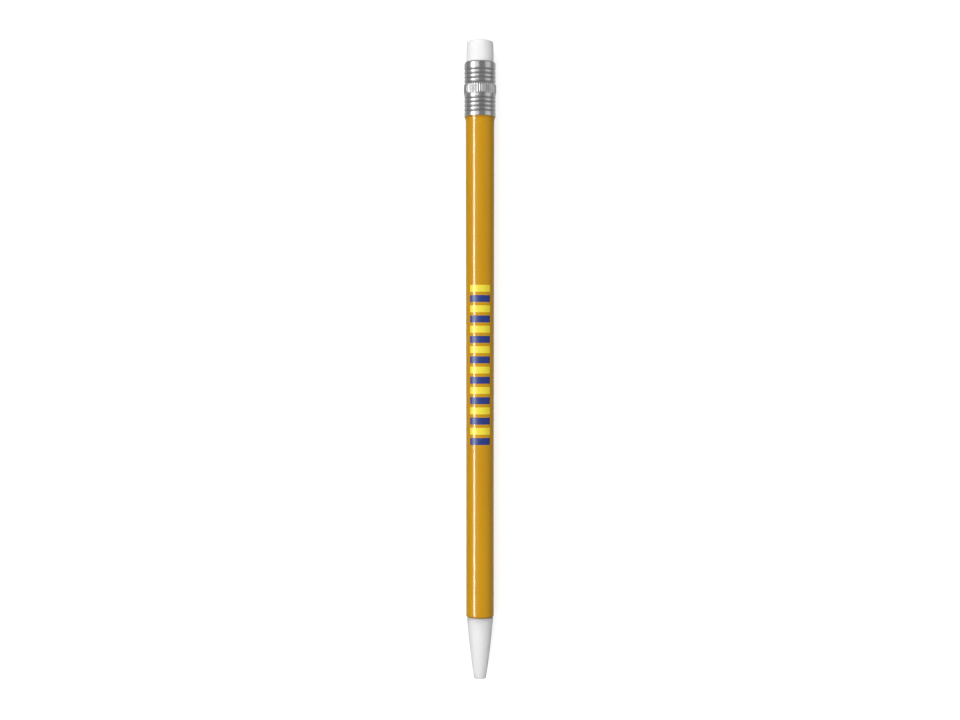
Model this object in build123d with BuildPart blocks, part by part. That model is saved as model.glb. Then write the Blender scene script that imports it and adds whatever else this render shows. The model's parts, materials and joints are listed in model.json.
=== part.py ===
"""A twist-feed mechanical pencil, lying along X with its tip towards -X.

The barrel carries a spiral sleeve. Turning the nose turns a slotted guide tube inside that
sleeve, and a carrier whose lugs pass through the slots into the spiral groove is driven
along the tube, pushing the lead out of the tip. A small spring in the carrier lets the
lead give way under a hard press. The origin is below the middle of the pencil, at the
lowest point of the ferrule, which is the widest piece. Lengths are in millimetres, and a
"station" is a distance along the pencil from the tip's end face.
"""

import os
from math import ceil

from build123d import *

# Overall sizes.
overall_length = 176.0
nose_length = 17.0
ferrule_length = 15.1
eraser_exposed = 5.8

# Nose cone.
tip_radius = 1.65
nose_mid_radius = 2.80
nose_base_radius = 3.63
tip_edge_round = 0.30
nose_base_round = 0.12
lead_hole_length = 5.5
lead_hole_flare = 0.7
passage_radius = 0.75
tail_length = 12.0
tube_socket_depth = 7.0

# Barrel.
barrel_front_radius = 3.80
barrel_rear_radius = 3.94
grip_zone_length = 43.0
barrel_front_round = 0.50
lip_length = 1.5
lip_inset = 0.08
mechanism_bore_radius = 2.95
rear_bore_step = 0.25
neck_length = 6.9
keyway_depth = 0.33

# Barrel plug.
plug_length = 12.0
plug_flange_inset = 0.33
plug_flange_thickness = 1.2
plug_core_radius = 1.6
plug_core_depth = 9.0
plug_chamfer = 0.3

# Ferrule.
ferrule_radius = 4.33
ferrule_wall = 0.30
fluted_band_height = 0.15
fluted_band_length = 2.8
fluted_band_from_front = 6.1
flute_count = 44
flute_cutter_radius = 0.26
flute_depth = 0.11
band_edge_bevel = 0.14
crimp_bead_radius = 0.20
crimp_depth = 0.10
crimp_pitch = 1.17
crimps_each_side = 4
front_crimps_to_band = 1.1
rear_crimps_to_band = 0.35
rim_lip_thickness = 0.45
rim_round = 0.42
rim_bite = 0.18

# Eraser.
eraser_inset = 0.58
eraser_straight_length = 2.8
eraser_end_taper = 0.08
eraser_edge_round = 0.40

# Friction ring on the nose tail.
ring_wire_radius = 0.26
ring_from_shoulder = 2.6
ring_groove_side_gap = 0.06

# Slotted guide tube and its cap.
tube_wall = 0.58
slot_width = 1.00
cap_inset = 0.20
cap_skirt_length = 2.2
cap_wall = 1.0
cap_edge_round = 0.3

# Washers either side of the spiral sleeve.
washer_thickness = 0.4
washer_inset = 0.45
washer_end_play = 0.1

# Spiral sleeve.
thread_lead = 5.0
groove_width = 1.17
groove_depth = 0.45
sleeve_wall = 0.40
key_width = 1.0
key_height = 0.28
key_length = 6.0
groove_starts = 2

# Carrier.
feed_travel = 52.0
carrier_length = 9.0
carrier_front_wall = 1.2
carrier_front_gap = 2.0
carrier_end_gap = 0.1
lug_from_front = 3.0
lug_radius = 0.45
lug_groove_gap = 0.07
carrier_wall = 0.38
carrier_cap_length = 1.4
carrier_cap_hole_radius = 0.45

# Cushion spring.
spring_wire_radius = 0.10
spring_turns = 6.5
spring_to_pocket_gap = 0.10
spring_seat_gap = 0.02

# Push pin, lead cup and lead.
lead_radius = 0.35
lead_length = 60.0
lead_setback = 0.6
pin_radius = 0.33
pin_head_gap = 0.08
pin_head_thickness = 0.8
cup_radius = 0.65
cup_grip = 2.0

# Clearances.
running_gap = 0.07
lead_gap = 0.05
seam_gap = 0.10
keyway_gap = 0.05
slip_gap = 0.02

# Radii and stations that follow from the sizes above.
fluted_band_radius = ferrule_radius + fluted_band_height
axis_height = fluted_band_radius
tip_x = -overall_length / 2
ferrule_front = overall_length - eraser_exposed - ferrule_length
ferrule_rear = ferrule_front + ferrule_length
neck_end = ferrule_front + neck_length
ferrule_inner_radius = ferrule_radius - ferrule_wall
crimp_inner_radius = ferrule_inner_radius - crimp_depth
eraser_radius = ferrule_radius - eraser_inset
eraser_end_radius = eraser_radius - eraser_end_taper
eraser_neck_radius = eraser_radius - rim_bite - slip_gap
rim_radius = eraser_radius - rim_bite
lip_radius = ferrule_radius - lip_inset
plug_flange_radius = crimp_inner_radius - plug_flange_inset

rear_bore_radius = mechanism_bore_radius - rear_bore_step
groove_floor_radius = mechanism_bore_radius - sleeve_wall
sleeve_bore_radius = groove_floor_radius - groove_depth
tube_outer_radius = sleeve_bore_radius - running_gap
tube_inner_radius = tube_outer_radius - tube_wall
carrier_radius = tube_inner_radius - running_gap
spring_pocket_radius = carrier_radius - carrier_wall
spring_mean_radius = spring_pocket_radius - spring_to_pocket_gap - spring_wire_radius
pin_head_radius = spring_pocket_radius - pin_head_gap
washer_outer_radius = mechanism_bore_radius - washer_inset
cap_outer_radius = rear_bore_radius - cap_inset
lug_tip_radius = groove_floor_radius - lug_groove_gap

tail_radius = mechanism_bore_radius - running_gap
tail_end = nose_length + tail_length
socket_start = tail_end - tube_socket_depth
sleeve_front = tail_end + washer_thickness + washer_end_play
carrier_front = tail_end + carrier_front_gap + feed_travel
carrier_rear = carrier_front + carrier_length
lug_station = carrier_front + lug_from_front
tube_rear = carrier_rear + carrier_end_gap
cap_front = tube_rear - cap_skirt_length
sleeve_rear = cap_front - washer_thickness - washer_end_play
slot_front = lug_station - feed_travel - lug_radius - running_gap
pocket_front = carrier_front + carrier_front_wall
carrier_cap_front = carrier_rear - carrier_cap_length
pin_head_rear = pocket_front + pin_head_thickness
lead_rear = lead_setback + lead_length

centre_line = Axis((0, 0, axis_height), (1, 0, 0))
# Local x runs back along the pencil from the tip, and local y is the radius.
profile_plane = Plane(
    origin=(tip_x, 0, axis_height), x_dir=(1, 0, 0), z_dir=(0, -1, 0)
)


def section_at(station):
    """The plane square to the pencil at a station, facing the eraser end."""
    return Plane(
        origin=(tip_x + station, 0, axis_height), x_dir=(0, 1, 0), z_dir=(1, 0, 0)
    )


# Barrel: a moulded tube, parallel over the grip zone and then widening slightly to a
# small flared lip that the ferrule butts against.
with BuildPart() as barrel:
    mouth = nose_length + seam_gap / 2
    grip_end = nose_length + grip_zone_length
    lip_start = ferrule_front - lip_length
    with BuildSketch(profile_plane):
        with BuildLine():
            Polyline(
                (mouth, 0),
                (mouth, barrel_front_radius),
                (grip_end, barrel_front_radius),
                (lip_start, barrel_rear_radius),
            )
            Spline(
                (lip_start, barrel_rear_radius),
                (ferrule_front, lip_radius),
                tangents=((1, 0), (1, 0.45)),
            )
            Polyline(
                (ferrule_front, lip_radius),
                (ferrule_front, crimp_inner_radius),
                (neck_end, crimp_inner_radius),
                (neck_end, 0),
                (mouth, 0),
            )
        make_face()
    revolve(axis=centre_line)
    fillet(
        barrel.edges().filter_by(GeomType.CIRCLE).group_by(Axis.X)[0],
        radius=barrel_front_round,
    )
    with BuildSketch(section_at(mouth)):
        Circle(mechanism_bore_radius)
    extrude(amount=sleeve_rear - mouth, mode=Mode.SUBTRACT)
    with BuildSketch(section_at(sleeve_rear)):
        Circle(rear_bore_radius)
    extrude(amount=neck_end - sleeve_rear, mode=Mode.SUBTRACT)
    with BuildSketch(section_at(mouth)):
        Rectangle(
            2 * (mechanism_bore_radius + keyway_depth), key_width + 2 * keyway_gap
        )
    extrude(amount=sleeve_front + key_length + seam_gap - mouth, mode=Mode.SUBTRACT)
barrel.part.label = "barrel"

# Barrel plug: closes the rear bore and is the floor that the eraser sits on.
with BuildPart() as barrel_plug:
    with BuildSketch(section_at(neck_end - plug_length)):
        Circle(rear_bore_radius)
    extrude(amount=plug_length)
    with BuildSketch(section_at(neck_end)):
        Circle(plug_flange_radius)
    extrude(amount=plug_flange_thickness)
    with BuildSketch(section_at(neck_end - plug_length)):
        Circle(plug_core_radius)
    extrude(amount=plug_core_depth, mode=Mode.SUBTRACT)
    plug_front = barrel_plug.faces().filter_by(GeomType.PLANE).sort_by(Axis.X)[0]
    chamfer(plug_front.outer_wire().edges(), length=plug_chamfer)
barrel_plug.part.label = "barrel_plug"

# Ferrule: a thin aluminium tube with a rolled-in rim, two rows of crimped grooves and a
# fluted band between them.
with BuildPart() as ferrule:
    band_front = ferrule_front + fluted_band_from_front
    band_rear = band_front + fluted_band_length
    with BuildSketch(section_at(ferrule_front)):
        Circle(ferrule_radius)
    extrude(amount=ferrule_length)
    fillet(
        ferrule.edges().filter_by(GeomType.CIRCLE).group_by(Axis.X)[-1],
        radius=rim_round,
    )
    with BuildSketch(section_at(band_front)):
        Circle(fluted_band_radius)
        with PolarLocations(
            fluted_band_radius + flute_cutter_radius - flute_depth,
            flute_count,
            start_angle=180 / flute_count,
        ):
            Circle(flute_cutter_radius, mode=Mode.SUBTRACT)
    extrude(amount=fluted_band_length)
    with BuildSketch(profile_plane):
        with BuildLine():
            Polyline(
                (band_front, fluted_band_radius - band_edge_bevel),
                (band_front + 2 * band_edge_bevel, fluted_band_radius),
                (band_front + 2 * band_edge_bevel, fluted_band_radius + 1),
                (band_front, fluted_band_radius + 1),
                close=True,
            )
        make_face()
        with BuildLine():
            Polyline(
                (band_rear, fluted_band_radius - band_edge_bevel),
                (band_rear - 2 * band_edge_bevel, fluted_band_radius),
                (band_rear - 2 * band_edge_bevel, fluted_band_radius + 1),
                (band_rear, fluted_band_radius + 1),
                close=True,
            )
        make_face()
    revolve(axis=centre_line, mode=Mode.SUBTRACT)
    with BuildSketch(section_at(ferrule_front)):
        Circle(ferrule_inner_radius)
    extrude(amount=ferrule_length - rim_lip_thickness, mode=Mode.SUBTRACT)
    with BuildSketch(section_at(ferrule_front)):
        Circle(rim_radius)
    extrude(amount=ferrule_length, mode=Mode.SUBTRACT)
    front_crimps = [
        band_front - front_crimps_to_band - number * crimp_pitch
        for number in range(crimps_each_side)
    ]
    rear_crimps = [
        band_rear + rear_crimps_to_band + number * crimp_pitch
        for number in range(crimps_each_side)
    ]
    crimp_stations = front_crimps + rear_crimps
    with BuildSketch(profile_plane):
        with Locations(
            [(s, crimp_inner_radius + crimp_bead_radius) for s in crimp_stations]
        ):
            Circle(crimp_bead_radius)
    revolve(axis=centre_line)
    with BuildSketch(profile_plane):
        with Locations(
            [(s, ferrule_radius - crimp_depth + crimp_bead_radius) for s in crimp_stations]
        ):
            Circle(crimp_bead_radius)
    revolve(axis=centre_line, mode=Mode.SUBTRACT)
ferrule.part.label = "ferrule"

# Eraser: its hidden half is wider, and the ferrule's rolled rim bites in above it.
with BuildPart() as eraser:
    eraser_front = neck_end + plug_flange_thickness
    rim_under = ferrule_rear - rim_lip_thickness - slip_gap
    rim_over = ferrule_rear + slip_gap
    with BuildSketch(profile_plane):
        with BuildLine():
            Polyline(
                (eraser_front, 0),
                (eraser_front, crimp_inner_radius),
                (rim_under, crimp_inner_radius),
                (rim_under, eraser_neck_radius),
                (rim_over, eraser_neck_radius),
                (rim_over, eraser_radius),
                (rim_over + eraser_straight_length, eraser_radius),
                (overall_length, eraser_end_radius),
                (overall_length, 0),
                close=True,
            )
        make_face()
    revolve(axis=centre_line)
    fillet(
        eraser.edges().filter_by(GeomType.CIRCLE).group_by(Axis.X)[-1],
        radius=eraser_edge_round,
    )
eraser.part.label = "eraser"

# Spiral sleeve: keyed into the barrel, with a two-start spiral groove in its bore.
turns_ahead = ceil((lug_station - sleeve_front) / thread_lead)
turns_behind = ceil((sleeve_rear - lug_station) / thread_lead)
groove_start = lug_station - turns_ahead * thread_lead
groove_length = (turns_ahead + turns_behind) * thread_lead
groove_start_point = (tip_x + groove_start, 0, axis_height)
groove_half_angle = 180 * groove_width / thread_lead
land_half_angle = 180 / groove_starts - groove_half_angle

with BuildLine() as groove_axis:
    Line(groove_start_point, (tip_x + groove_start + groove_length, 0, axis_height))
with BuildLine() as groove_guide:
    Helix(
        pitch=thread_lead,
        height=groove_length,
        radius=groove_floor_radius,
        center=groove_start_point,
        direction=(1, 0, 0),
    )

with BuildPart() as groove_core:
    with BuildSketch(section_at(groove_start)):
        Circle(groove_floor_radius)
        for land in range(groove_starts):
            land_middle = land * 360 / groove_starts
            with BuildLine():
                land_edge = PolarLine(
                    (0, 0), 2 * groove_floor_radius, angle=land_middle - land_half_angle
                )
                land_side = PolarLine(
                    (0, 0), 2 * groove_floor_radius, angle=land_middle + land_half_angle
                )
                Line(land_edge @ 1, land_side @ 1)
            make_face(mode=Mode.SUBTRACT)
        Circle(sleeve_bore_radius)
    sweep(path=groove_axis.wires()[0], binormal=groove_guide.wires()[0])

with BuildPart() as spiral_sleeve:
    with BuildSketch(section_at(sleeve_front)):
        Circle(mechanism_bore_radius)
    extrude(amount=sleeve_rear - sleeve_front)
    with BuildSketch(section_at(sleeve_front)):
        Rectangle(2 * (mechanism_bore_radius + key_height), key_width)
    extrude(amount=key_length)
    add(groove_core.part, mode=Mode.SUBTRACT)
spiral_sleeve.part.label = "spiral_sleeve"

# Nose cone: the turning grip, with a tail that runs in the barrel's mouth.
with BuildPart() as nose_cone:
    shoulder = nose_length - seam_gap / 2
    ring_station = nose_length + ring_from_shoulder
    ring_groove_half = ring_wire_radius + ring_groove_side_gap
    ring_groove_floor = mechanism_bore_radius - slip_gap - 2 * ring_wire_radius
    with BuildSketch(profile_plane):
        with BuildLine():
            Line((0, 0), (0, tip_radius))
            ThreePointArc(
                (0, tip_radius),
                (shoulder / 2, nose_mid_radius),
                (shoulder, nose_base_radius),
            )
            Polyline(
                (shoulder, nose_base_radius),
                (shoulder, tail_radius),
                (ring_station - ring_groove_half, tail_radius),
                (ring_station - ring_groove_half, ring_groove_floor),
                (ring_station + ring_groove_half, ring_groove_floor),
                (ring_station + ring_groove_half, tail_radius),
                (tail_end, tail_radius),
                (tail_end, 0),
                (0, 0),
            )
        make_face()
    revolve(axis=centre_line)
    tip_face = nose_cone.faces().filter_by(GeomType.PLANE).sort_by(Axis.X)[0]
    fillet(tip_face.edges(), radius=tip_edge_round)
    base_face = nose_cone.faces().filter_by(GeomType.PLANE).sort_by(Axis.X)[1]
    fillet(base_face.outer_wire().edges(), radius=nose_base_round)
    with BuildSketch(profile_plane):
        with BuildLine():
            Polyline(
                (0, 0),
                (0, lead_radius + lead_gap),
                (lead_hole_length, lead_radius + lead_gap),
                (lead_hole_length + lead_hole_flare, passage_radius),
                (socket_start, passage_radius),
                (socket_start, tube_outer_radius),
                (tail_end, tube_outer_radius),
                (tail_end, 0),
                close=True,
            )
        make_face()
    revolve(axis=centre_line, mode=Mode.SUBTRACT)
nose_cone.part.label = "nose_cone"

# Friction ring: sits in the tail's groove and drags on the barrel's bore.
with BuildPart() as friction_ring:
    with BuildSketch(profile_plane):
        with Locations((ring_station, ring_groove_floor + ring_wire_radius)):
            Circle(ring_wire_radius)
    revolve(axis=centre_line)
friction_ring.part.label = "friction_ring"

# Guide tube: fixed in the nose tail, with two slots that open at its rear end.
with BuildPart() as guide_tube:
    with BuildSketch(section_at(socket_start)):
        Circle(tube_outer_radius)
        Circle(tube_inner_radius, mode=Mode.SUBTRACT)
    extrude(amount=tube_rear - socket_start)
    with BuildSketch(section_at(slot_front)):
        Rectangle(slot_width, 3 * tube_outer_radius)
    extrude(amount=tube_rear - slot_front, mode=Mode.SUBTRACT)
guide_tube.part.label = "guide_tube"

# Tube cap: holds the tube's split end together and keeps the sleeve from slipping off.
with BuildPart() as tube_cap:
    with BuildSketch(section_at(cap_front)):
        Circle(cap_outer_radius)
    extrude(amount=cap_skirt_length + cap_wall)
    fillet(
        tube_cap.edges().filter_by(GeomType.CIRCLE).group_by(Axis.X)[-1],
        radius=cap_edge_round,
    )
    with BuildSketch(section_at(cap_front)):
        Circle(tube_outer_radius)
    extrude(amount=cap_skirt_length, mode=Mode.SUBTRACT)
tube_cap.part.label = "tube_cap"

# Washers: one against the nose tail, one against the tube cap.
with BuildPart() as front_washer:
    with BuildSketch(section_at(tail_end)):
        Circle(washer_outer_radius)
        Circle(tube_outer_radius + slip_gap, mode=Mode.SUBTRACT)
    extrude(amount=washer_thickness)
front_washer.part.label = "front_washer"

with BuildPart() as rear_washer:
    with BuildSketch(section_at(cap_front - washer_thickness)):
        Circle(washer_outer_radius)
        Circle(tube_outer_radius + slip_gap, mode=Mode.SUBTRACT)
    extrude(amount=washer_thickness)
rear_washer.part.label = "rear_washer"

# Carrier body: slides in the guide tube, with two lugs that reach the spiral groove.
with BuildPart() as carrier_body:
    with BuildSketch(section_at(carrier_front)):
        Circle(carrier_radius)
    extrude(amount=carrier_length)
    lug_plane = Plane(
        origin=(tip_x + lug_station, 0, axis_height), x_dir=(1, 0, 0), z_dir=(0, 0, 1)
    )
    with BuildSketch(lug_plane):
        Circle(lug_radius)
    extrude(amount=lug_tip_radius, both=True)
    with BuildSketch(section_at(pocket_front)):
        Circle(spring_pocket_radius)
    extrude(amount=carrier_rear - pocket_front, mode=Mode.SUBTRACT)
    with BuildSketch(section_at(carrier_front)):
        Circle(pin_radius + lead_gap)
    extrude(amount=carrier_front_wall, mode=Mode.SUBTRACT)
carrier_body.part.label = "carrier_body"

# Carrier cap: pressed into the carrier's rear end, and backs the spring.
with BuildPart() as carrier_cap:
    with BuildSketch(section_at(carrier_cap_front)):
        Circle(spring_pocket_radius)
        Circle(carrier_cap_hole_radius, mode=Mode.SUBTRACT)
    extrude(amount=carrier_cap_length)
carrier_cap.part.label = "carrier_cap"

# Cushion spring: between the push pin's head and the carrier cap.
with BuildPart() as cushion_spring:
    spring_front = pin_head_rear + spring_seat_gap + spring_wire_radius
    spring_rear = carrier_cap_front - spring_seat_gap - spring_wire_radius
    spring_span = spring_rear - spring_front
    with BuildLine() as spring_path:
        Helix(
            pitch=spring_span / spring_turns,
            height=spring_span,
            radius=spring_mean_radius,
            center=(tip_x + spring_front, 0, axis_height),
            direction=(1, 0, 0),
        )
    spring_line = spring_path.wires()[0]
    with BuildSketch(Plane(origin=spring_line @ 0, z_dir=spring_line % 0)):
        Circle(spring_wire_radius)
    sweep(path=spring_line, is_frenet=True)
cushion_spring.part.label = "cushion_spring"

# Push pin: a headed wire that drives the lead.
with BuildPart() as push_pin:
    with BuildSketch(section_at(lead_rear)):
        Circle(pin_radius)
    extrude(amount=pocket_front - lead_rear)
    with BuildSketch(section_at(pocket_front)):
        Circle(pin_head_radius)
    extrude(amount=pin_head_thickness)
push_pin.part.label = "push_pin"

# Lead cup: a short sleeve that joins the lead to the push pin.
with BuildPart() as lead_cup:
    with BuildSketch(section_at(lead_rear - cup_grip)):
        Circle(cup_radius)
    extrude(amount=2 * cup_grip)
    with BuildSketch(section_at(lead_rear - cup_grip)):
        Circle(lead_radius)
    extrude(amount=cup_grip, mode=Mode.SUBTRACT)
    with BuildSketch(section_at(lead_rear)):
        Circle(pin_radius)
    extrude(amount=cup_grip, mode=Mode.SUBTRACT)
lead_cup.part.label = "lead_cup"

# Lead.
with BuildPart() as lead:
    with BuildSketch(section_at(lead_setback)):
        Circle(lead_radius)
    extrude(amount=lead_length)
lead.part.label = "lead"

pieces = [
    barrel,
    barrel_plug,
    ferrule,
    eraser,
    spiral_sleeve,
    nose_cone,
    friction_ring,
    guide_tube,
    tube_cap,
    front_washer,
    rear_washer,
    carrier_body,
    carrier_cap,
    cushion_spring,
    push_pin,
    lead_cup,
    lead,
]

os.makedirs("parts", exist_ok=True)
for piece in pieces:
    export_step(piece.part, f"parts/{piece.part.label}.step")
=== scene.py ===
import json
from math import atan2, cos, pi, radians, sin

import bmesh
import bpy
from mathutils import Euler, Matrix, Vector


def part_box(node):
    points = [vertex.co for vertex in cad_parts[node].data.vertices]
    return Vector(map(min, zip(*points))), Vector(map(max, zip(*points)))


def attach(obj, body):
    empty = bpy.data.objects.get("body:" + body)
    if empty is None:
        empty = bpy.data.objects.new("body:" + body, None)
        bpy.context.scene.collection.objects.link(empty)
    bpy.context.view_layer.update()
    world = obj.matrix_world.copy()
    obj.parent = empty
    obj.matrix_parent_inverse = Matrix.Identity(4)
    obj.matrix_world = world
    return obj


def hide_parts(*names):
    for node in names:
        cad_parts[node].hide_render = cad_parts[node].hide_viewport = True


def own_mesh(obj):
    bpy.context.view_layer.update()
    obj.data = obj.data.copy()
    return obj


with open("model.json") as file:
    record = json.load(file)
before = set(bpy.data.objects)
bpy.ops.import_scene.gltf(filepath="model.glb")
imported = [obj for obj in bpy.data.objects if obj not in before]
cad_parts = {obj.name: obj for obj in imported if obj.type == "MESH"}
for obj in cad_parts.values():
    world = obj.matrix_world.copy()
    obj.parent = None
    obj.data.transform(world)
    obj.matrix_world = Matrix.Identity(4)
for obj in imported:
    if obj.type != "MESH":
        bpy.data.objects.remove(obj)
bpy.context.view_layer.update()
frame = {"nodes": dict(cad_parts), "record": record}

MM = 0.001
MICRON = 0.000001
mounts = {m["name"]: m for m in frame["record"]["mounts"]}


# ---------------------------------------------------------------- sizes from the frame

def low(node):
    return Vector(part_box(node)[0])


def high(node):
    return Vector(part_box(node)[1])


def half_width(node):
    """A turned piece's largest radius, in millimetres."""
    return (high(node).y - low(node).y) / 2 / MM


TIP_X = low("nose_cone").x
AXIS_Z = (high("ferrule").z + low("ferrule").z) / 2
END_X = high("eraser").x


def station(x):
    """Millimetres along the pencil from the tip's end face."""
    return (x - TIP_X) / MM


MOUTH = station(low("barrel").x)
NECK_END = station(high("barrel").x)
FERRULE_FRONT = station(low("ferrule").x)
FERRULE_REAR = station(high("ferrule").x)
ERASER_FRONT = station(low("eraser").x)
ERASER_END = station(END_X)
TAIL_END = station(high("nose_cone").x)
SLEEVE_REAR = station(high("spiral_sleeve").x)
SOCKET_START = station(low("guide_tube").x)

GRIP_RADIUS = mounts["grip_zone"]["dims"]["r_mm"]
GRIP_MIDDLE = station(mounts["grip_zone"]["pos_m"][0])
GRIP_END = GRIP_MIDDLE + mounts["grip_zone"]["dims"]["length_mm"] / 2
LIP_RADIUS = half_width("barrel")
BARREL_REAR_RADIUS = 3.94
LIP_LENGTH = 1.5
SLEEVE_RADIUS = (high("spiral_sleeve").z - low("spiral_sleeve").z) / 2 / MM
PLUG_BORE = 2.70
NECK_RADIUS = half_width("eraser")
NOSE_RADIUS = half_width("nose_cone")
TIP_RADIUS = 1.65
NOSE_BULGE = 0.16
TAIL_RADIUS = SLEEVE_RADIUS - 0.07
LEAD_RADIUS = half_width("lead")
LEAD_HOLE_RADIUS = LEAD_RADIUS + 0.05
TUBE_RADIUS = half_width("guide_tube")
BAND_RADIUS = half_width("ferrule")
FERRULE_RADIUS = BAND_RADIUS - 0.15
FERRULE_WALL = 0.30
ERASER_RADIUS = mounts["eraser_plug"]["dims"]["r_mm"]
RIM_RADIUS = ERASER_RADIUS - 0.18
RIM_ROLL = 0.48

# Where the ferrule's rolled details lie, in millimetres from the tip.
BAND_FRONT = FERRULE_FRONT + 6.1
BAND_REAR = BAND_FRONT + 2.8
CRIMP_PITCH = 1.17
CRIMP_HALF = 0.40
CRIMP_DEPTH = 0.14
FRONT_CRIMPS = [BAND_FRONT - 1.1 - number * CRIMP_PITCH for number in range(4)][::-1]
REAR_CRIMPS = [BAND_REAR + 0.45 + number * CRIMP_PITCH for number in range(4)]
FLUTES = 44
FLUTE_DEPTH = 0.10

# How finely round pieces are turned: steps in a full turn.
AROUND = 192
LEAD_AROUND = 48
STEPS_PER_FLUTE = 10


# ---------------------------------------------------------------- mesh helpers

def bowed(start, end, bulge, steps):
    """Points along a slightly bowed line between two (station, radius) corners."""
    points = []
    for number in range(1, steps):
        t = number / steps
        points.append((
            start[0] + (end[0] - start[0]) * t,
            start[1] + (end[1] - start[1]) * t + 4 * bulge * t * (1 - t),
        ))
    return points


def turn_about_axis(bm, steps, turns=1.0, travel=0.0):
    """Spins what is in the bmesh about the pencil's axis, moving it along by travel a step."""
    bmesh.ops.spin(
        bm, geom=bm.verts[:] + bm.edges[:], cent=(0, 0, AXIS_Z), axis=(1, 0, 0),
        dvec=(travel, 0, 0), angle=2 * pi * turns, steps=steps, use_merge=travel == 0.0,
        use_normal_flip=False, use_duplicate=False,
    )


def lathe(outline, steps, closed=True):
    """A bmesh of a (station, radius) outline turned about the pencil's axis."""
    bm = bmesh.new()
    dots = [bm.verts.new((TIP_X + s * MM, 0, AXIS_Z + r * MM)) for s, r in outline]
    for a, b in zip(dots, dots[1:]):
        bm.edges.new((a, b))
    if closed:
        bm.edges.new((dots[-1], dots[0]))
    turn_about_axis(bm, steps)
    bmesh.ops.remove_doubles(bm, verts=bm.verts[:], dist=1e-8)
    bmesh.ops.recalc_face_normals(bm, faces=bm.faces[:])
    return bm


def place(vert):
    """A vertex's (station, radius, angle), the angle measured from straight up."""
    y, z = vert.co.y, vert.co.z - AXIS_Z
    return station(vert.co.x), (y * y + z * z) ** 0.5 / MM, atan2(y, z)


# How near to a ring a vertex has to be to count as on it, in mm.
RING_REACH = 0.002


def round_ring(bm, at, radius, size, segments):
    """Rounds the edge that runs round the piece at a station and radius, all in mm."""
    ring = []
    for edge in bm.edges:
        near = True
        for vert in edge.verts:
            s, r, _ = place(vert)
            near = near and abs(s - at) < RING_REACH and abs(r - radius) < RING_REACH
        if near:
            ring.append(edge)
    bmesh.ops.bevel(
        bm, geom=ring, offset=size * MM, offset_type="OFFSET", affect="EDGES",
        segments=segments, profile=0.5, material=-1, clamp_overlap=True,
    )


def finish_piece(bm, name, body, finish, nodes=(), crease=32):
    """Turns a bmesh into a named, shaded piece riding on a body."""
    bmesh.ops.dissolve_degenerate(bm, edges=bm.edges[:], dist=1e-8)
    bmesh.ops.recalc_face_normals(bm, faces=bm.faces[:])
    for face in bm.faces:
        face.smooth = True
    for edge in bm.edges:
        if len(edge.link_faces) == 2:
            edge.smooth = edge.calc_face_angle(0) < radians(crease)
    mesh = bpy.data.meshes.new(name)
    bm.to_mesh(mesh)
    bm.free()
    piece = bpy.data.objects.new(name, mesh)
    bpy.context.scene.collection.objects.link(piece)
    mesh.materials.append(finish)
    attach(piece, body)
    if nodes:
        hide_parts(*nodes)
    return piece


# ---------------------------------------------------------------- shader helpers

class Signal:
    """A shader socket that Python's operators work on."""

    def __init__(self, finish, socket):
        self.finish, self.socket = finish, socket

    def maths(self, operation, *others):
        return self.finish.add("ShaderNodeMath", {"operation": operation}, [self, *others])

    def __add__(self, other):
        return self.maths("ADD", other)

    __radd__ = __add__

    def __sub__(self, other):
        return self.maths("SUBTRACT", other)

    def __rsub__(self, other):
        return self.finish.add("ShaderNodeMath", {"operation": "SUBTRACT"}, [other, self])

    def __mul__(self, other):
        return self.maths("MULTIPLY", other)

    __rmul__ = __mul__

    def __truediv__(self, other):
        return self.maths("DIVIDE", other)

    def __gt__(self, other):
        return self.maths("GREATER_THAN", other)

    def __lt__(self, other):
        return self.maths("LESS_THAN", other)

    def __abs__(self):
        return self.maths("ABSOLUTE")


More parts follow.
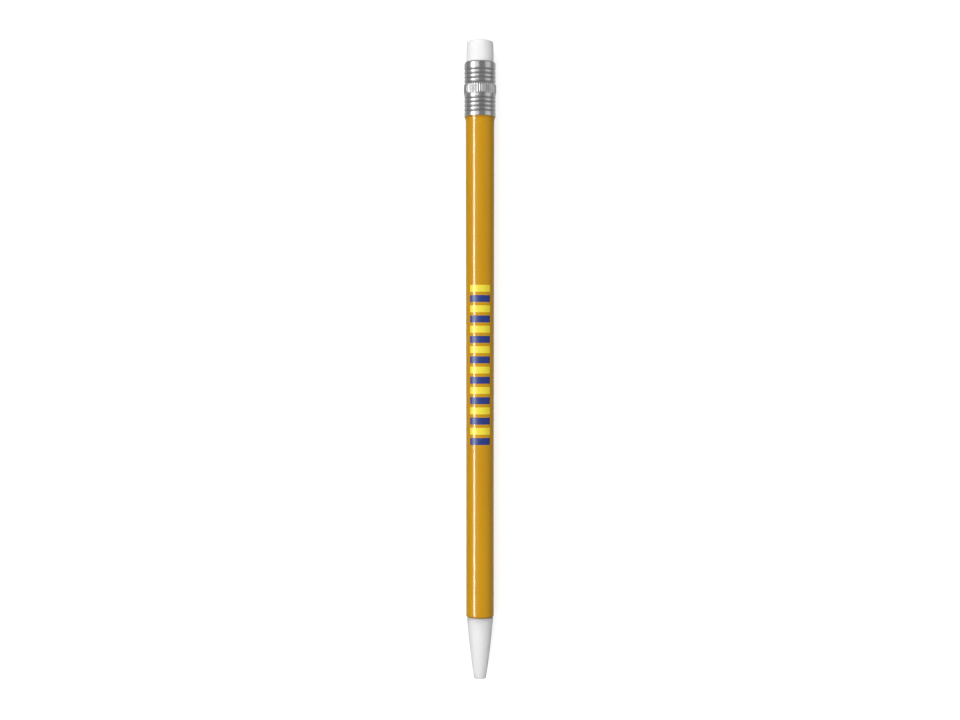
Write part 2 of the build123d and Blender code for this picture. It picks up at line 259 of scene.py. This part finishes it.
class Finish:
    """A node material, built up round one Principled shader."""

    def __init__(self, name, **fixed):
        self.material = bpy.data.materials.new(name)
        self.material.use_nodes = True
        self.tree = self.material.node_tree
        self.tree.nodes.clear()
        self.shader = self.tree.nodes.new("ShaderNodeBsdfPrincipled")
        output = self.tree.nodes.new("ShaderNodeOutputMaterial")
        self.tree.links.new(self.shader.outputs["BSDF"], output.inputs["Surface"])
        for key, value in fixed.items():
            self.shader.inputs[key.replace("_", " ")].default_value = value
        self.spot = self.add("ShaderNodeTexCoord", output="Object")

    def add(self, kind, settings=None, inputs=None, output=0):
        """Adds a node: its settings first, then its sockets' values or links."""
        node = self.tree.nodes.new(kind)
        for key, value in (settings or {}).items():
            if key == "stops":
                ramp = node.color_ramp
                while len(ramp.elements) < len(value):
                    ramp.elements.new(0.5)
                for element, (position, colour) in zip(ramp.elements, value):
                    element.position = position
                    element.color = (*colour, 1.0)
            else:
                setattr(node, key, value)
        pairs = inputs.items() if isinstance(inputs, dict) else enumerate(inputs or [])
        for key, value in pairs:
            if isinstance(value, Signal):
                self.tree.links.new(value.socket, node.inputs[key])
            elif isinstance(value, tuple) and len(value) == 3 and node.inputs[key].type == "RGBA":
                node.inputs[key].default_value = (*value, 1.0)
            else:
                node.inputs[key].default_value = value
        return Signal(self, node.outputs[output])

    def set(self, key, signal):
        self.tree.links.new(signal.socket, self.shader.inputs[key])

    def stretched(self, x, y, z):
        """Object coordinates scaled along each axis, in repeats per metre."""
        return self.add(
            "ShaderNodeMapping", {"vector_type": "POINT"},
            {"Vector": self.spot, "Scale": (x, y, z)},
        )

    def noise(self, where, detail=3.0, rough=0.5):
        return self.add(
            "ShaderNodeTexNoise", {"noise_dimensions": "3D"},
            {"Vector": where, "Scale": 1.0, "Detail": detail, "Roughness": rough},
        )

    def between(self, factor, first, second):
        """A colour between two colours."""
        return self.add(
            "ShaderNodeMix", {"data_type": "RGBA", "clamp_factor": True},
            {0: factor, 6: first, 7: second}, output=2,
        )

    def ranged(self, signal, low_in, high_in, low_out, high_out):
        return self.add(
            "ShaderNodeMapRange", {"clamp": True}, [signal, low_in, high_in, low_out, high_out]
        )

    def mottled(self, signal, first, second, start=0.35, end=0.70):
        """A colour that changes from first to second as a noise rises from start to end."""
        return self.between(self.ranged(signal, start, end, 0.0, 1.0), first, second)

    def bump(self, height, distance):
        """Relief from a height signal, where 1 stands for distance in metres."""
        normal = self.add(
            "ShaderNodeBump", {},
            {"Height": height, "Distance": distance, "Strength": 1.0}, output="Normal",
        )
        self.set("Normal", normal)

    def axes(self):
        """(station in mm, y in mm, height above the axis in mm)."""
        split = self.tree.nodes.new("ShaderNodeSeparateXYZ")
        self.tree.links.new(self.spot.socket, split.inputs[0])
        x, y, z = (Signal(self, split.outputs[number]) for number in range(3))
        return (x - TIP_X) / MM, y / MM, (z - AXIS_Z) / MM

    def round_distance(self, radius):
        """(station, distance round the pencil from its top line), in mm."""
        along, across, up = self.axes()
        return along, across.maths("ARCTAN2", up) * radius


SCRATCH_STRETCH = (260.0, 5200.0, 2600.0)


def scratches(finish, slant, amount):
    """Fine handling scratches: thin lines from a noise stretched along a slanted direction."""
    where = finish.add(
        "ShaderNodeMapping", {"vector_type": "POINT"},
        {"Vector": finish.spot, "Rotation": (0.3, 0.2, slant), "Scale": SCRATCH_STRETCH},
    )
    lines = finish.noise(where, detail=2.0, rough=0.6)
    return finish.ranged(lines, 0.63, 0.70, 0.0, amount)


# ---------------------------------------------------------------- finishes

OCHRE = (0.560, 0.285, 0.0025)
OCHRE_DEEP = (0.515, 0.250, 0.0015)
OCHRE_SHADE = (0.190, 0.070, 0.006)
PRINT_YELLOW = (0.78, 0.66, 0.035)
PRINT_BLUE = (0.011, 0.034, 0.215)

# The printed trim, in millimetres: bars of each colour, in turn along the barrel.
TRIM_START = 64.7
BARS_PER_COLOUR = 8
BAR_PITCH = 5.6
BAR_WIDTH = 1.9
BAR_HALF_HEIGHT = 3.0


def barrel_plastic():
    finish = Finish(
        "glossy_ochre_plastic", IOR=1.50, Specular_IOR_Level=0.32, Subsurface_Weight=0.12,
        Subsurface_Scale=0.0012, Subsurface_Radius=(1.0, 0.40, 0.10),
    )
    along, arc = finish.round_distance(GRIP_RADIUS)

    flow = finish.noise(finish.stretched(22, 260, 260), detail=4.0, rough=0.55)
    fine = finish.noise(finish.stretched(1900, 1900, 1900), detail=3.0, rough=0.6)
    base = finish.between(finish.ranged(flow, 0.35, 0.68, 0.0, 0.65), OCHRE, OCHRE_DEEP)

    # Painted shade: the colour darkens where the lip meets the ferrule and round the mouth's
    # rounded edge.
    lip_painted_shade = finish.ranged(along, FERRULE_FRONT - 0.80, FERRULE_FRONT - 0.10, 0.0, 0.50)
    mouth_painted_shade = finish.ranged(along, MOUTH + 0.10, MOUTH + 0.60, 0.70, 0.0)
    base = finish.between(lip_painted_shade + mouth_painted_shade, base, OCHRE_SHADE)

    # A plain printed trim: one even ladder of bars, yellow and blue in turn.
    def bars(start):
        place_in_row = (along - start) / BAR_PITCH
        in_row = (place_in_row > 0) * (place_in_row < BARS_PER_COLOUR)
        in_bar = place_in_row.maths("FRACT") < BAR_WIDTH / BAR_PITCH
        return in_row * in_bar * (abs(arc) < BAR_HALF_HEIGHT)

    wobble = (fine - 0.5) * 0.05
    yellow = bars(wobble + (TRIM_START + BAR_PITCH / 2))
    blue = bars(wobble + TRIM_START)
    colour = finish.between(yellow, base, PRINT_YELLOW)
    colour = finish.between(blue, colour, PRINT_BLUE)
    finish.set("Base Color", colour)

    printed = yellow + blue
    marks = scratches(finish, 0.7, 0.10)
    grain = finish.noise(finish.stretched(420, 420, 420), detail=2.0)
    finish.set("Roughness", grain * 0.03 + marks + printed * 0.22 + 0.15)
    skin = finish.noise(finish.stretched(700, 900, 900), detail=2.0, rough=0.45)
    finish.bump(skin * 0.3 + printed - marks, MICRON)
    return finish.material


def nose_plastic():
    finish = Finish(
        "pale_satin_plastic", IOR=1.49, Specular_IOR_Level=0.30, Subsurface_Weight=1.0,
        Subsurface_Scale=0.0055, Subsurface_Radius=(1.0, 1.0, 1.0),
    )
    along, _, _ = finish.axes()
    cloud = finish.noise(finish.stretched(120, 260, 260), detail=4.0)
    clean = finish.mottled(cloud, (0.775, 0.775, 0.773), (0.735, 0.735, 0.733))
    # A little graphite dust sits round the lead's hole.
    smudge = finish.noise(finish.stretched(900, 900, 900), detail=5.0, rough=0.65)
    near_hole = finish.ranged(along, 0.05, 1.6, 1.0, 0.0)
    dust = near_hole * finish.ranged(smudge, 0.42, 0.72, 0.0, 0.55)
    finish.set("Base Color", finish.between(dust, clean, (0.42, 0.42, 0.43)))
    marks = scratches(finish, 1.9, 0.12)
    finish.set("Roughness", cloud * 0.12 + marks + 0.42)
    skin = finish.noise(finish.stretched(1500, 1500, 1500), detail=3.0, rough=0.5)
    finish.bump(skin - marks, 4 * MICRON)
    return finish.material


def ferrule_metal():
    finish = Finish("bright_rolled_aluminium", Metallic=1.0, IOR=1.45)
    along, _, _ = finish.axes()
    lines = finish.noise(finish.stretched(5200, 160, 160), detail=4.0, rough=0.65)
    patches = finish.noise(finish.stretched(300, 300, 300), detail=3.0)
    colour = finish.mottled(patches, (0.90, 0.90, 0.905), (0.82, 0.825, 0.835))
    # Painted shade: the colour darkens in the crimp grooves, on both sides of the fluted band,
    # and the grooves are a little rougher.
    groove_shade_mask = None
    for at in FRONT_CRIMPS + REAR_CRIMPS:
        line = finish.ranged(abs(along - at), 0.04, 0.26, 1.0, 0.0)
        groove_shade_mask = line if groove_shade_mask is None else groove_shade_mask + line
    groove_painted_shade = groove_shade_mask * (patches * 0.6 + 0.45)
    finish.set("Base Color", finish.between(groove_painted_shade, colour, (0.33, 0.33, 0.345)))
    marks = scratches(finish, 0.2, 0.12)
    finish.set("Roughness", lines * 0.10 + patches * 0.06 + marks + groove_painted_shade * 0.15 + 0.15)
    finish.bump(lines * 0.8 + patches * 0.3 - marks, 1.6 * MICRON)
    return finish.material


def eraser_rubber():
    finish = Finish(
        "matt_white_vinyl", IOR=1.46, Specular_IOR_Level=0.25, Subsurface_Weight=0.05,
        Subsurface_Scale=0.0006, Subsurface_Radius=(1.0, 1.0, 1.0),
    )
    grain = finish.noise(finish.stretched(2600, 2600, 2600), detail=5.0, rough=0.65)
    cloud = finish.noise(finish.stretched(320, 320, 320), detail=4.0)
    colour = finish.mottled(cloud, (0.845, 0.845, 0.845), (0.795, 0.795, 0.795))
    specks = finish.ranged(grain, 0.66, 0.74, 0.0, 0.35)
    finish.set("Base Color", finish.between(specks, colour, (0.60, 0.60, 0.61)))
    finish.set("Roughness", grain * 0.16 + 0.58)
    finish.bump(grain, 22 * MICRON)
    return finish.material


def graphite():
    finish = Finish("graphite_lead", Metallic=0.35, IOR=1.8)
    grain = finish.noise(finish.stretched(3000, 9000, 9000), detail=4.0, rough=0.6)
    colour = finish.mottled(grain, (0.035, 0.035, 0.038), (0.085, 0.085, 0.09), start=0.40)
    finish.set("Base Color", colour)
    finish.set("Roughness", grain * 0.25 + 0.32)
    finish.bump(grain, 6 * MICRON)
    return finish.material


def moulded(name, colour, second, roughness, relief=4 * MICRON):
    """A moulded plastic or rubber with a fine even texture."""
    finish = Finish(name)
    cloud = finish.noise(finish.stretched(240, 500, 500), detail=4.0)
    finish.set("Base Color", finish.mottled(cloud, colour, second))
    grain = finish.noise(finish.stretched(2200, 2200, 2200), detail=3.0)
    finish.set("Roughness", grain * 0.14 + roughness)
    finish.bump(grain, relief)
    return finish.material


def drawn_metal(name, colour, second, roughness):
    """Drawn or turned metal, with fine lines along it."""
    finish = Finish(name, Metallic=1.0)
    lines = finish.noise(finish.stretched(300, 9000, 9000), detail=3.0, rough=0.6)
    finish.set("Base Color", finish.mottled(lines, colour, second))
    finish.set("Roughness", lines * 0.18 + roughness)
    finish.bump(lines, 2 * MICRON)
    return finish.material


BARREL_FINISH = barrel_plastic()
NOSE_FINISH = nose_plastic()
FERRULE_FINISH = ferrule_metal()
ERASER_FINISH = eraser_rubber()
LEAD_FINISH = graphite()
SLEEVE_FINISH = moulded("natural_acetal", (0.70, 0.70, 0.67), (0.63, 0.63, 0.60), 0.38)
TUBE_FINISH = moulded("dark_grey_acetal", (0.045, 0.048, 0.055), (0.03, 0.032, 0.038), 0.40)
CARRIER_FINISH = moulded("white_acetal", (0.82, 0.82, 0.80), (0.75, 0.75, 0.73), 0.34)
PLUG_FINISH = moulded("off_white_polythene", (0.72, 0.72, 0.68), (0.66, 0.66, 0.62), 0.48)
WASHER_FINISH = moulded("slippery_washer_plastic", (0.78, 0.75, 0.64), (0.72, 0.69, 0.58), 0.42)
RING_FINISH = moulded(
    "black_ring_rubber", (0.020, 0.020, 0.021), (0.030, 0.030, 0.031), 0.55, 10 * MICRON
)
SPRING_FINISH = drawn_metal("spring_wire", (0.60, 0.60, 0.61), (0.50, 0.50, 0.52), 0.20)
PIN_FINISH = drawn_metal("steel_wire", (0.66, 0.66, 0.67), (0.58, 0.58, 0.60), 0.18)
CUP_FINISH = drawn_metal("turned_brass", (0.72, 0.50, 0.19), (0.62, 0.41, 0.14), 0.20)


# ---------------------------------------------------------------- pieces

def make_barrel():
    """The ochre tube: parallel at the grip, slowly wider behind it, flared at the ferrule."""
    lip_start = FERRULE_FRONT - LIP_LENGTH
    swell = BARREL_REAR_RADIUS - GRIP_RADIUS
    swell_middle = GRIP_END + 40
    outline = [
        (MOUTH, SLEEVE_RADIUS),
        (MOUTH, GRIP_RADIUS),
        (MOUTH + 8, GRIP_RADIUS),
        (GRIP_END, GRIP_RADIUS),
        (swell_middle, GRIP_RADIUS + swell * 0.43),
        (lip_start, BARREL_REAR_RADIUS),
    ]
    flare = LIP_RADIUS - BARREL_REAR_RADIUS
    for number in range(1, 7):
        t = number / 7
        outline.append((lip_start + LIP_LENGTH * t, BARREL_REAR_RADIUS + flare * t * t))
    outline += [
        (FERRULE_FRONT, LIP_RADIUS),
        (FERRULE_FRONT, NECK_RADIUS),
        (NECK_END, NECK_RADIUS),
        (NECK_END, PLUG_BORE),
        (SLEEVE_REAR, PLUG_BORE),
        (SLEEVE_REAR, SLEEVE_RADIUS),
    ]
    bm = lathe(outline, AROUND)
    round_ring(bm, MOUTH, GRIP_RADIUS, 0.5, 6)
    round_ring(bm, MOUTH, SLEEVE_RADIUS, 0.12, 2)
    round_ring(bm, FERRULE_FRONT, LIP_RADIUS, 0.05, 2)
    round_ring(bm, NECK_END, NECK_RADIUS, 0.15, 2)
    return finish_piece(
        bm, "ochre_barrel", "barrel_assembly", BARREL_FINISH, ["barrel"]
    )


def make_nose():
    """The pale cone, with the tail that turns inside the barrel and the lead's passage."""
    base = MOUTH - 0.1
    ring_gap = 0.06
    ring_low = station(low("friction_ring").x) - ring_gap
    ring_high = station(high("friction_ring").x) + ring_gap
    ring_floor = SLEEVE_RADIUS - 0.54
    funnel_start, funnel_end, passage_radius = 5.5, 6.2, 0.75
    outline = [(0, LEAD_HOLE_RADIUS), (0, TIP_RADIUS)]
    outline += bowed((0, TIP_RADIUS), (base, NOSE_RADIUS), NOSE_BULGE, 20)
    outline += [
        (base, NOSE_RADIUS),
        (base, TAIL_RADIUS),
        (ring_low, TAIL_RADIUS),
        (ring_low, ring_floor),
        (ring_high, ring_floor),
        (ring_high, TAIL_RADIUS),
        (TAIL_END, TAIL_RADIUS),
        (TAIL_END, TUBE_RADIUS),
        (SOCKET_START, TUBE_RADIUS),
        (SOCKET_START, passage_radius),
        (funnel_end, passage_radius),
        (funnel_start, LEAD_HOLE_RADIUS),
    ]
    bm = lathe(outline, AROUND)
    round_ring(bm, 0, TIP_RADIUS, 0.32, 6)
    round_ring(bm, 0, LEAD_HOLE_RADIUS, 0.10, 3)
    round_ring(bm, base, NOSE_RADIUS, 0.14, 3)
    round_ring(bm, TAIL_END, TAIL_RADIUS, 0.2, 2)
    return finish_piece(
        bm, "turning_nose", "nose_assembly", NOSE_FINISH, ["nose_cone"]
    )


def make_ferrule():
    """The metal tube: two rows of crimped grooves, a fluted band between them, a rolled rim."""
    top = FERRULE_RADIUS
    inner = FERRULE_RADIUS - FERRULE_WALL

    def groove(at):
        shape = []
        for number in range(-5, 6):
            t = number / 5
            depth = CRIMP_DEPTH * (1 - t * t) ** 2
            shape.append((at + CRIMP_HALF * t, top - depth))
        return shape

    outline = [(FERRULE_FRONT, inner), (FERRULE_FRONT, top)]
    for at in FRONT_CRIMPS:
        outline += groove(at)
    outline += [(BAND_FRONT - 0.22, top), (BAND_FRONT, top)]
    rise = BAND_RADIUS - top
    shoulder = 0.10
    crown_length = BAND_REAR - BAND_FRONT - 2 * shoulder
    for number in range(11):
        t = number / 10
        lift = rise * (0.80 + 0.20 * (1 - (2 * t - 1) ** 2))
        outline.append((BAND_FRONT + shoulder + crown_length * t, top + lift))
    outline += [(BAND_REAR, top)]
    for at in REAR_CRIMPS:
        outline += groove(at)
    rim_start = FERRULE_REAR - RIM_ROLL
    outline += [(rim_start, top)]
    for number in range(1, 8):
        angle = pi / 2 * number / 7
        roll = RIM_ROLL * (1 - cos(angle))
        outline.append((rim_start + RIM_ROLL * sin(angle), top - roll))
    outline += [
        (FERRULE_REAR, RIM_RADIUS + 0.12),
        (FERRULE_REAR - 0.08, RIM_RADIUS + 0.02),
        (FERRULE_REAR - 0.22, RIM_RADIUS),
        (FERRULE_REAR - 0.38, RIM_RADIUS + 0.03),
        (FERRULE_REAR - 0.45, RIM_RADIUS + 0.14),
        (FERRULE_REAR - 0.45, inner),
    ]
    bm = lathe(outline, FLUTES * STEPS_PER_FLUTE)

    # The flutes are pressed into the band, and run out towards its two ends.
    margin = 0.05
    for vert in bm.verts:
        s, r, angle = place(vert)
        if BAND_FRONT + margin < s < BAND_REAR - margin and r > top + margin:
            t = (s - BAND_FRONT) / (BAND_REAR - BAND_FRONT)
            ends = min(1.0, 6 * t, 6 * (1 - t))
            cut = FLUTE_DEPTH * ends * (0.5 - 0.5 * cos(FLUTES * angle))
            scale = (r - cut) / r
            vert.co.y *= scale
            vert.co.z = AXIS_Z + (vert.co.z - AXIS_Z) * scale
    round_ring(bm, FERRULE_FRONT, top, 0.08, 2)
    return finish_piece(
        bm, "crimped_ferrule", "barrel_assembly", FERRULE_FINISH,
        ["ferrule"], crease=50,
    )


def make_eraser():
    """The white plug: a wide foot held under the rolled rim, and a slightly tapered end."""
    gap = 0.02
    rim_under = FERRULE_REAR - 0.47
    rim_over = FERRULE_REAR + gap
    end_radius = ERASER_RADIUS - 0.08
    outline = [
        (ERASER_FRONT, 0),
        (ERASER_FRONT, NECK_RADIUS),
        (rim_under, NECK_RADIUS),
        (rim_under, RIM_RADIUS - gap),
        (rim_over, RIM_RADIUS - gap),
        (rim_over, ERASER_RADIUS),
        (rim_over + 1.4, ERASER_RADIUS),
        (rim_over + 2.8, ERASER_RADIUS),
        (ERASER_END, end_radius),
        (ERASER_END, 2.2),
        (ERASER_END, 0),
    ]
    bm = lathe(outline, AROUND, closed=False)
    round_ring(bm, ERASER_END, end_radius, 0.42, 6)
    round_ring(bm, rim_over, ERASER_RADIUS, 0.10, 3)
    return finish_piece(
        bm, "white_eraser", "barrel_assembly", ERASER_FINISH, ["eraser"]
    )


def make_lead():
    """The lead, from just inside the tip to its seat in the cup."""
    front = station(low("lead").x)
    rear = station(high("lead").x)
    outline = [
        (front, 0),
        (front, LEAD_RADIUS),
        (front + 20, LEAD_RADIUS),
        (front + 40, LEAD_RADIUS),
        (rear, LEAD_RADIUS),
        (rear, 0),
    ]
    bm = lathe(outline, LEAD_AROUND, closed=False)
    round_ring(bm, front, LEAD_RADIUS, 0.06, 3)
    return finish_piece(bm, "graphite_lead", "lead_train", LEAD_FINISH, ["lead"])


def make_spring():
    """A coil, wound by turning a small ring about the axis while it moves along."""
    front = low("cushion_spring").x
    rear = high("cushion_spring").x
    wire = 0.10 * MM
    coil = half_width("cushion_spring") * MM - wire
    turns = 6.5
    steps = int(turns * 40)
    travel = (rear - front - 2 * wire) / steps
    bm = bmesh.new()
    bmesh.ops.create_circle(bm, cap_ends=False, radius=wire, segments=12)
    upright = Euler((pi / 2, 0, 0)).to_matrix().to_4x4()
    start = Matrix.Translation((front + wire, 0, AXIS_Z + coil)) @ upright
    bmesh.ops.transform(bm, matrix=start, verts=bm.verts[:])
    turn_about_axis(bm, steps, turns, travel)
    ends = [edge for edge in bm.edges if len(edge.link_faces) == 1]
    bmesh.ops.holes_fill(bm, edges=ends, sides=0)
    piece = finish_piece(
        bm, "carrier_spring", "carrier", SPRING_FINISH, ["cushion_spring"],
        crease=60,
    )
    # With the lead pushed right back, the spring keeps 0.856 of its length.
    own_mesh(piece)


barrel = make_barrel()
make_nose()
ferrule = make_ferrule()
make_eraser()
make_lead()
make_spring()

INNER_FINISHES = {
    "barrel_plug": PLUG_FINISH,
    "spiral_sleeve": SLEEVE_FINISH,
    "friction_ring": RING_FINISH,
    "guide_tube": TUBE_FINISH,
    "tube_cap": TUBE_FINISH,
    "front_washer": WASHER_FINISH,
    "rear_washer": WASHER_FINISH,
    "carrier_body": CARRIER_FINISH,
    "carrier_cap": CARRIER_FINISH,
    "push_pin": PIN_FINISH,
    "lead_cup": CUP_FINISH,
}
for node, finish in INNER_FINISHES.items():
    for slot in frame["nodes"][node].material_slots:
        slot.material = finish


# ---------------------------------------------------------------- floor, light and camera

TABLE_HALF = 5.5
WALL_HEIGHT = 12
TABLE_DROP = 20 * MICRON


def stage_piece(name, bm, finish):
    """Turns a bmesh into part of the set, which stays out of gloss and bounced light."""
    mesh = bpy.data.meshes.new(name)
    bm.to_mesh(mesh)
    bm.free()
    piece = bpy.data.objects.new(name, mesh)
    bpy.context.scene.collection.objects.link(piece)
    piece.visible_glossy = False
    piece.visible_diffuse = False
    mesh.materials.append(finish)
    return piece


def make_set():
    """A white light table that glows more towards its edges, and a pale wall all round."""
    paper = Finish("pale_paper", Specular_IOR_Level=0.0, Roughness=0.95, Emission_Strength=1.0)
    shade = paper.noise(paper.stretched(3, 3, 3), detail=2.0)
    paper.set("Base Color", paper.between(shade, (0.73, 0.73, 0.73), (0.76, 0.76, 0.76)))
    reach = paper.add(
        "ShaderNodeVectorMath", {"operation": "LENGTH"}, [paper.spot], output="Value"
    )
    glow = paper.ranged(reach, 0.35, 3.5, 0.0, 1.0)
    paper.set("Emission Color", paper.between(glow, (0.50, 0.50, 0.50), (0.94, 0.94, 0.94)))

    bm = bmesh.new()
    bmesh.ops.create_grid(bm, x_segments=1, y_segments=1, size=TABLE_HALF)
    bmesh.ops.translate(bm, verts=bm.verts[:], vec=(0, 0, -TABLE_DROP))
    stage_piece("floor", bm, paper.material)

    bm = bmesh.new()
    bmesh.ops.create_cone(
        bm, cap_ends=False, segments=64, radius1=TABLE_HALF * 0.98, radius2=TABLE_HALF,
        depth=WALL_HEIGHT,
    )
    bmesh.ops.reverse_faces(bm, faces=bm.faces[:])
    backdrop = stage_piece("backdrop", bm, paper.material)
    backdrop.visible_shadow = False


def soft_light(name, tilt, distance, wide, long, radiance, sheen=True, fill=True, onto=()):
    """A soft light above the pencil, facing its axis and tilted about it by tilt degrees,
    positive towards +Y. wide and long are its sides. sheen and fill say whether it shows in
    gloss and lights matt surfaces, and onto holds the only pieces it falls on."""
    data = bpy.data.lights.new(name, "AREA")
    data.shape = "RECTANGLE"
    data.size, data.size_y = wide, long
    data.energy = pi * radiance * wide * long
    light = bpy.data.objects.new(name, data)
    angle = radians(tilt)
    light.location = (0, distance * sin(angle), AXIS_Z + distance * cos(angle))
    back = (Vector(light.location) - Vector((0, 0, AXIS_Z))).normalized()
    side = Vector((1, 0, 0)).cross(back)
    light.matrix_world = Matrix((
        (side.x, 1, back.x, light.location.x),
        (side.y, 0, back.y, light.location.y),
        (side.z, 0, back.z, light.location.z),
        (0, 0, 0, 1),
    ))
    light.visible_glossy = sheen
    light.visible_diffuse = fill
    if onto:
        lit = bpy.data.collections.new(name + "_falls_on")
        for piece in onto:
            lit.objects.link(piece)
        light.light_linking.receiver_collection = lit
    bpy.context.scene.collection.objects.link(light)


def make_sky():
    """A dim, even studio: a little darker overhead, and paler well below the table's edge."""
    world = bpy.data.worlds.new("studio")
    bpy.context.scene.world = world
    world.use_nodes = True
    nodes, links = world.node_tree.nodes, world.node_tree.links
    direction = nodes.new("ShaderNodeTexCoord")
    split = nodes.new("ShaderNodeSeparateXYZ")
    height = nodes.new("ShaderNodeMapRange")
    height.inputs["From Min"].default_value = -1.0
    ramp = nodes.new("ShaderNodeValToRGB")
    stops = ramp.color_ramp.elements
    greys = ((0.0, 0.50), (0.20, 0.42), (0.30, 0.20), (0.56, 0.21), (0.93, 0.19), (1.0, 0.17))
    while len(stops) < len(greys):
        stops.new(0.5)
    for stop, (position, grey) in zip(stops, greys):
        stop.position = position
        stop.color = (grey, grey, grey, 1.0)
    links.new(direction.outputs["Generated"], split.inputs[0])
    links.new(split.outputs["Z"], height.inputs["Value"])
    links.new(height.outputs["Result"], ramp.inputs["Fac"])
    links.new(ramp.outputs["Color"], nodes["Background"].inputs["Color"])


make_set()
make_sky()
soft_light(
    "overhead_fill", tilt=4, distance=1.4, wide=3.6, long=3.6, radiance=1.06, sheen=False,
)
soft_light(
    "left_wrap", tilt=48, distance=1.3, wide=1.2, long=2.4, radiance=1.12, sheen=False,
)
soft_light(
    "key_strip", tilt=49, distance=0.9, wide=0.20, long=1.2, radiance=27.0, fill=False,
    onto=[barrel],
)
soft_light(
    "metal_strip", tilt=52, distance=0.9, wide=0.34, long=0.9, radiance=1.6, fill=False,
    onto=[ferrule],
)
soft_light(
    "left_glow", tilt=41, distance=1.1, wide=1.36, long=1.2, radiance=0.60, fill=False,
)
soft_light(
    "right_glow", tilt=-62, distance=1.1, wide=0.86, long=1.2, radiance=0.38, fill=False,
)

# The camera looks straight down, with the eraser at the top of the view.
VIEW_DISTANCE = 0.395
VIEW_HEIGHT = 0.1991
SENSOR_WIDTH = 36

camera_data = bpy.data.cameras.new("camera")
camera_data.sensor_fit = "HORIZONTAL"
camera_data.sensor_width = SENSOR_WIDTH
camera_data.lens = SENSOR_WIDTH * VIEW_DISTANCE / (VIEW_HEIGHT * 960 / 720)
camera = bpy.data.objects.new("camera", camera_data)
camera.location = ((TIP_X + END_X) / 2, 0, AXIS_Z + VIEW_DISTANCE)
camera.rotation_euler = (0, 0, -pi / 2)
bpy.context.scene.collection.objects.link(camera)
bpy.context.scene.camera = camera
bpy.context.scene.view_settings.view_transform = "Standard"
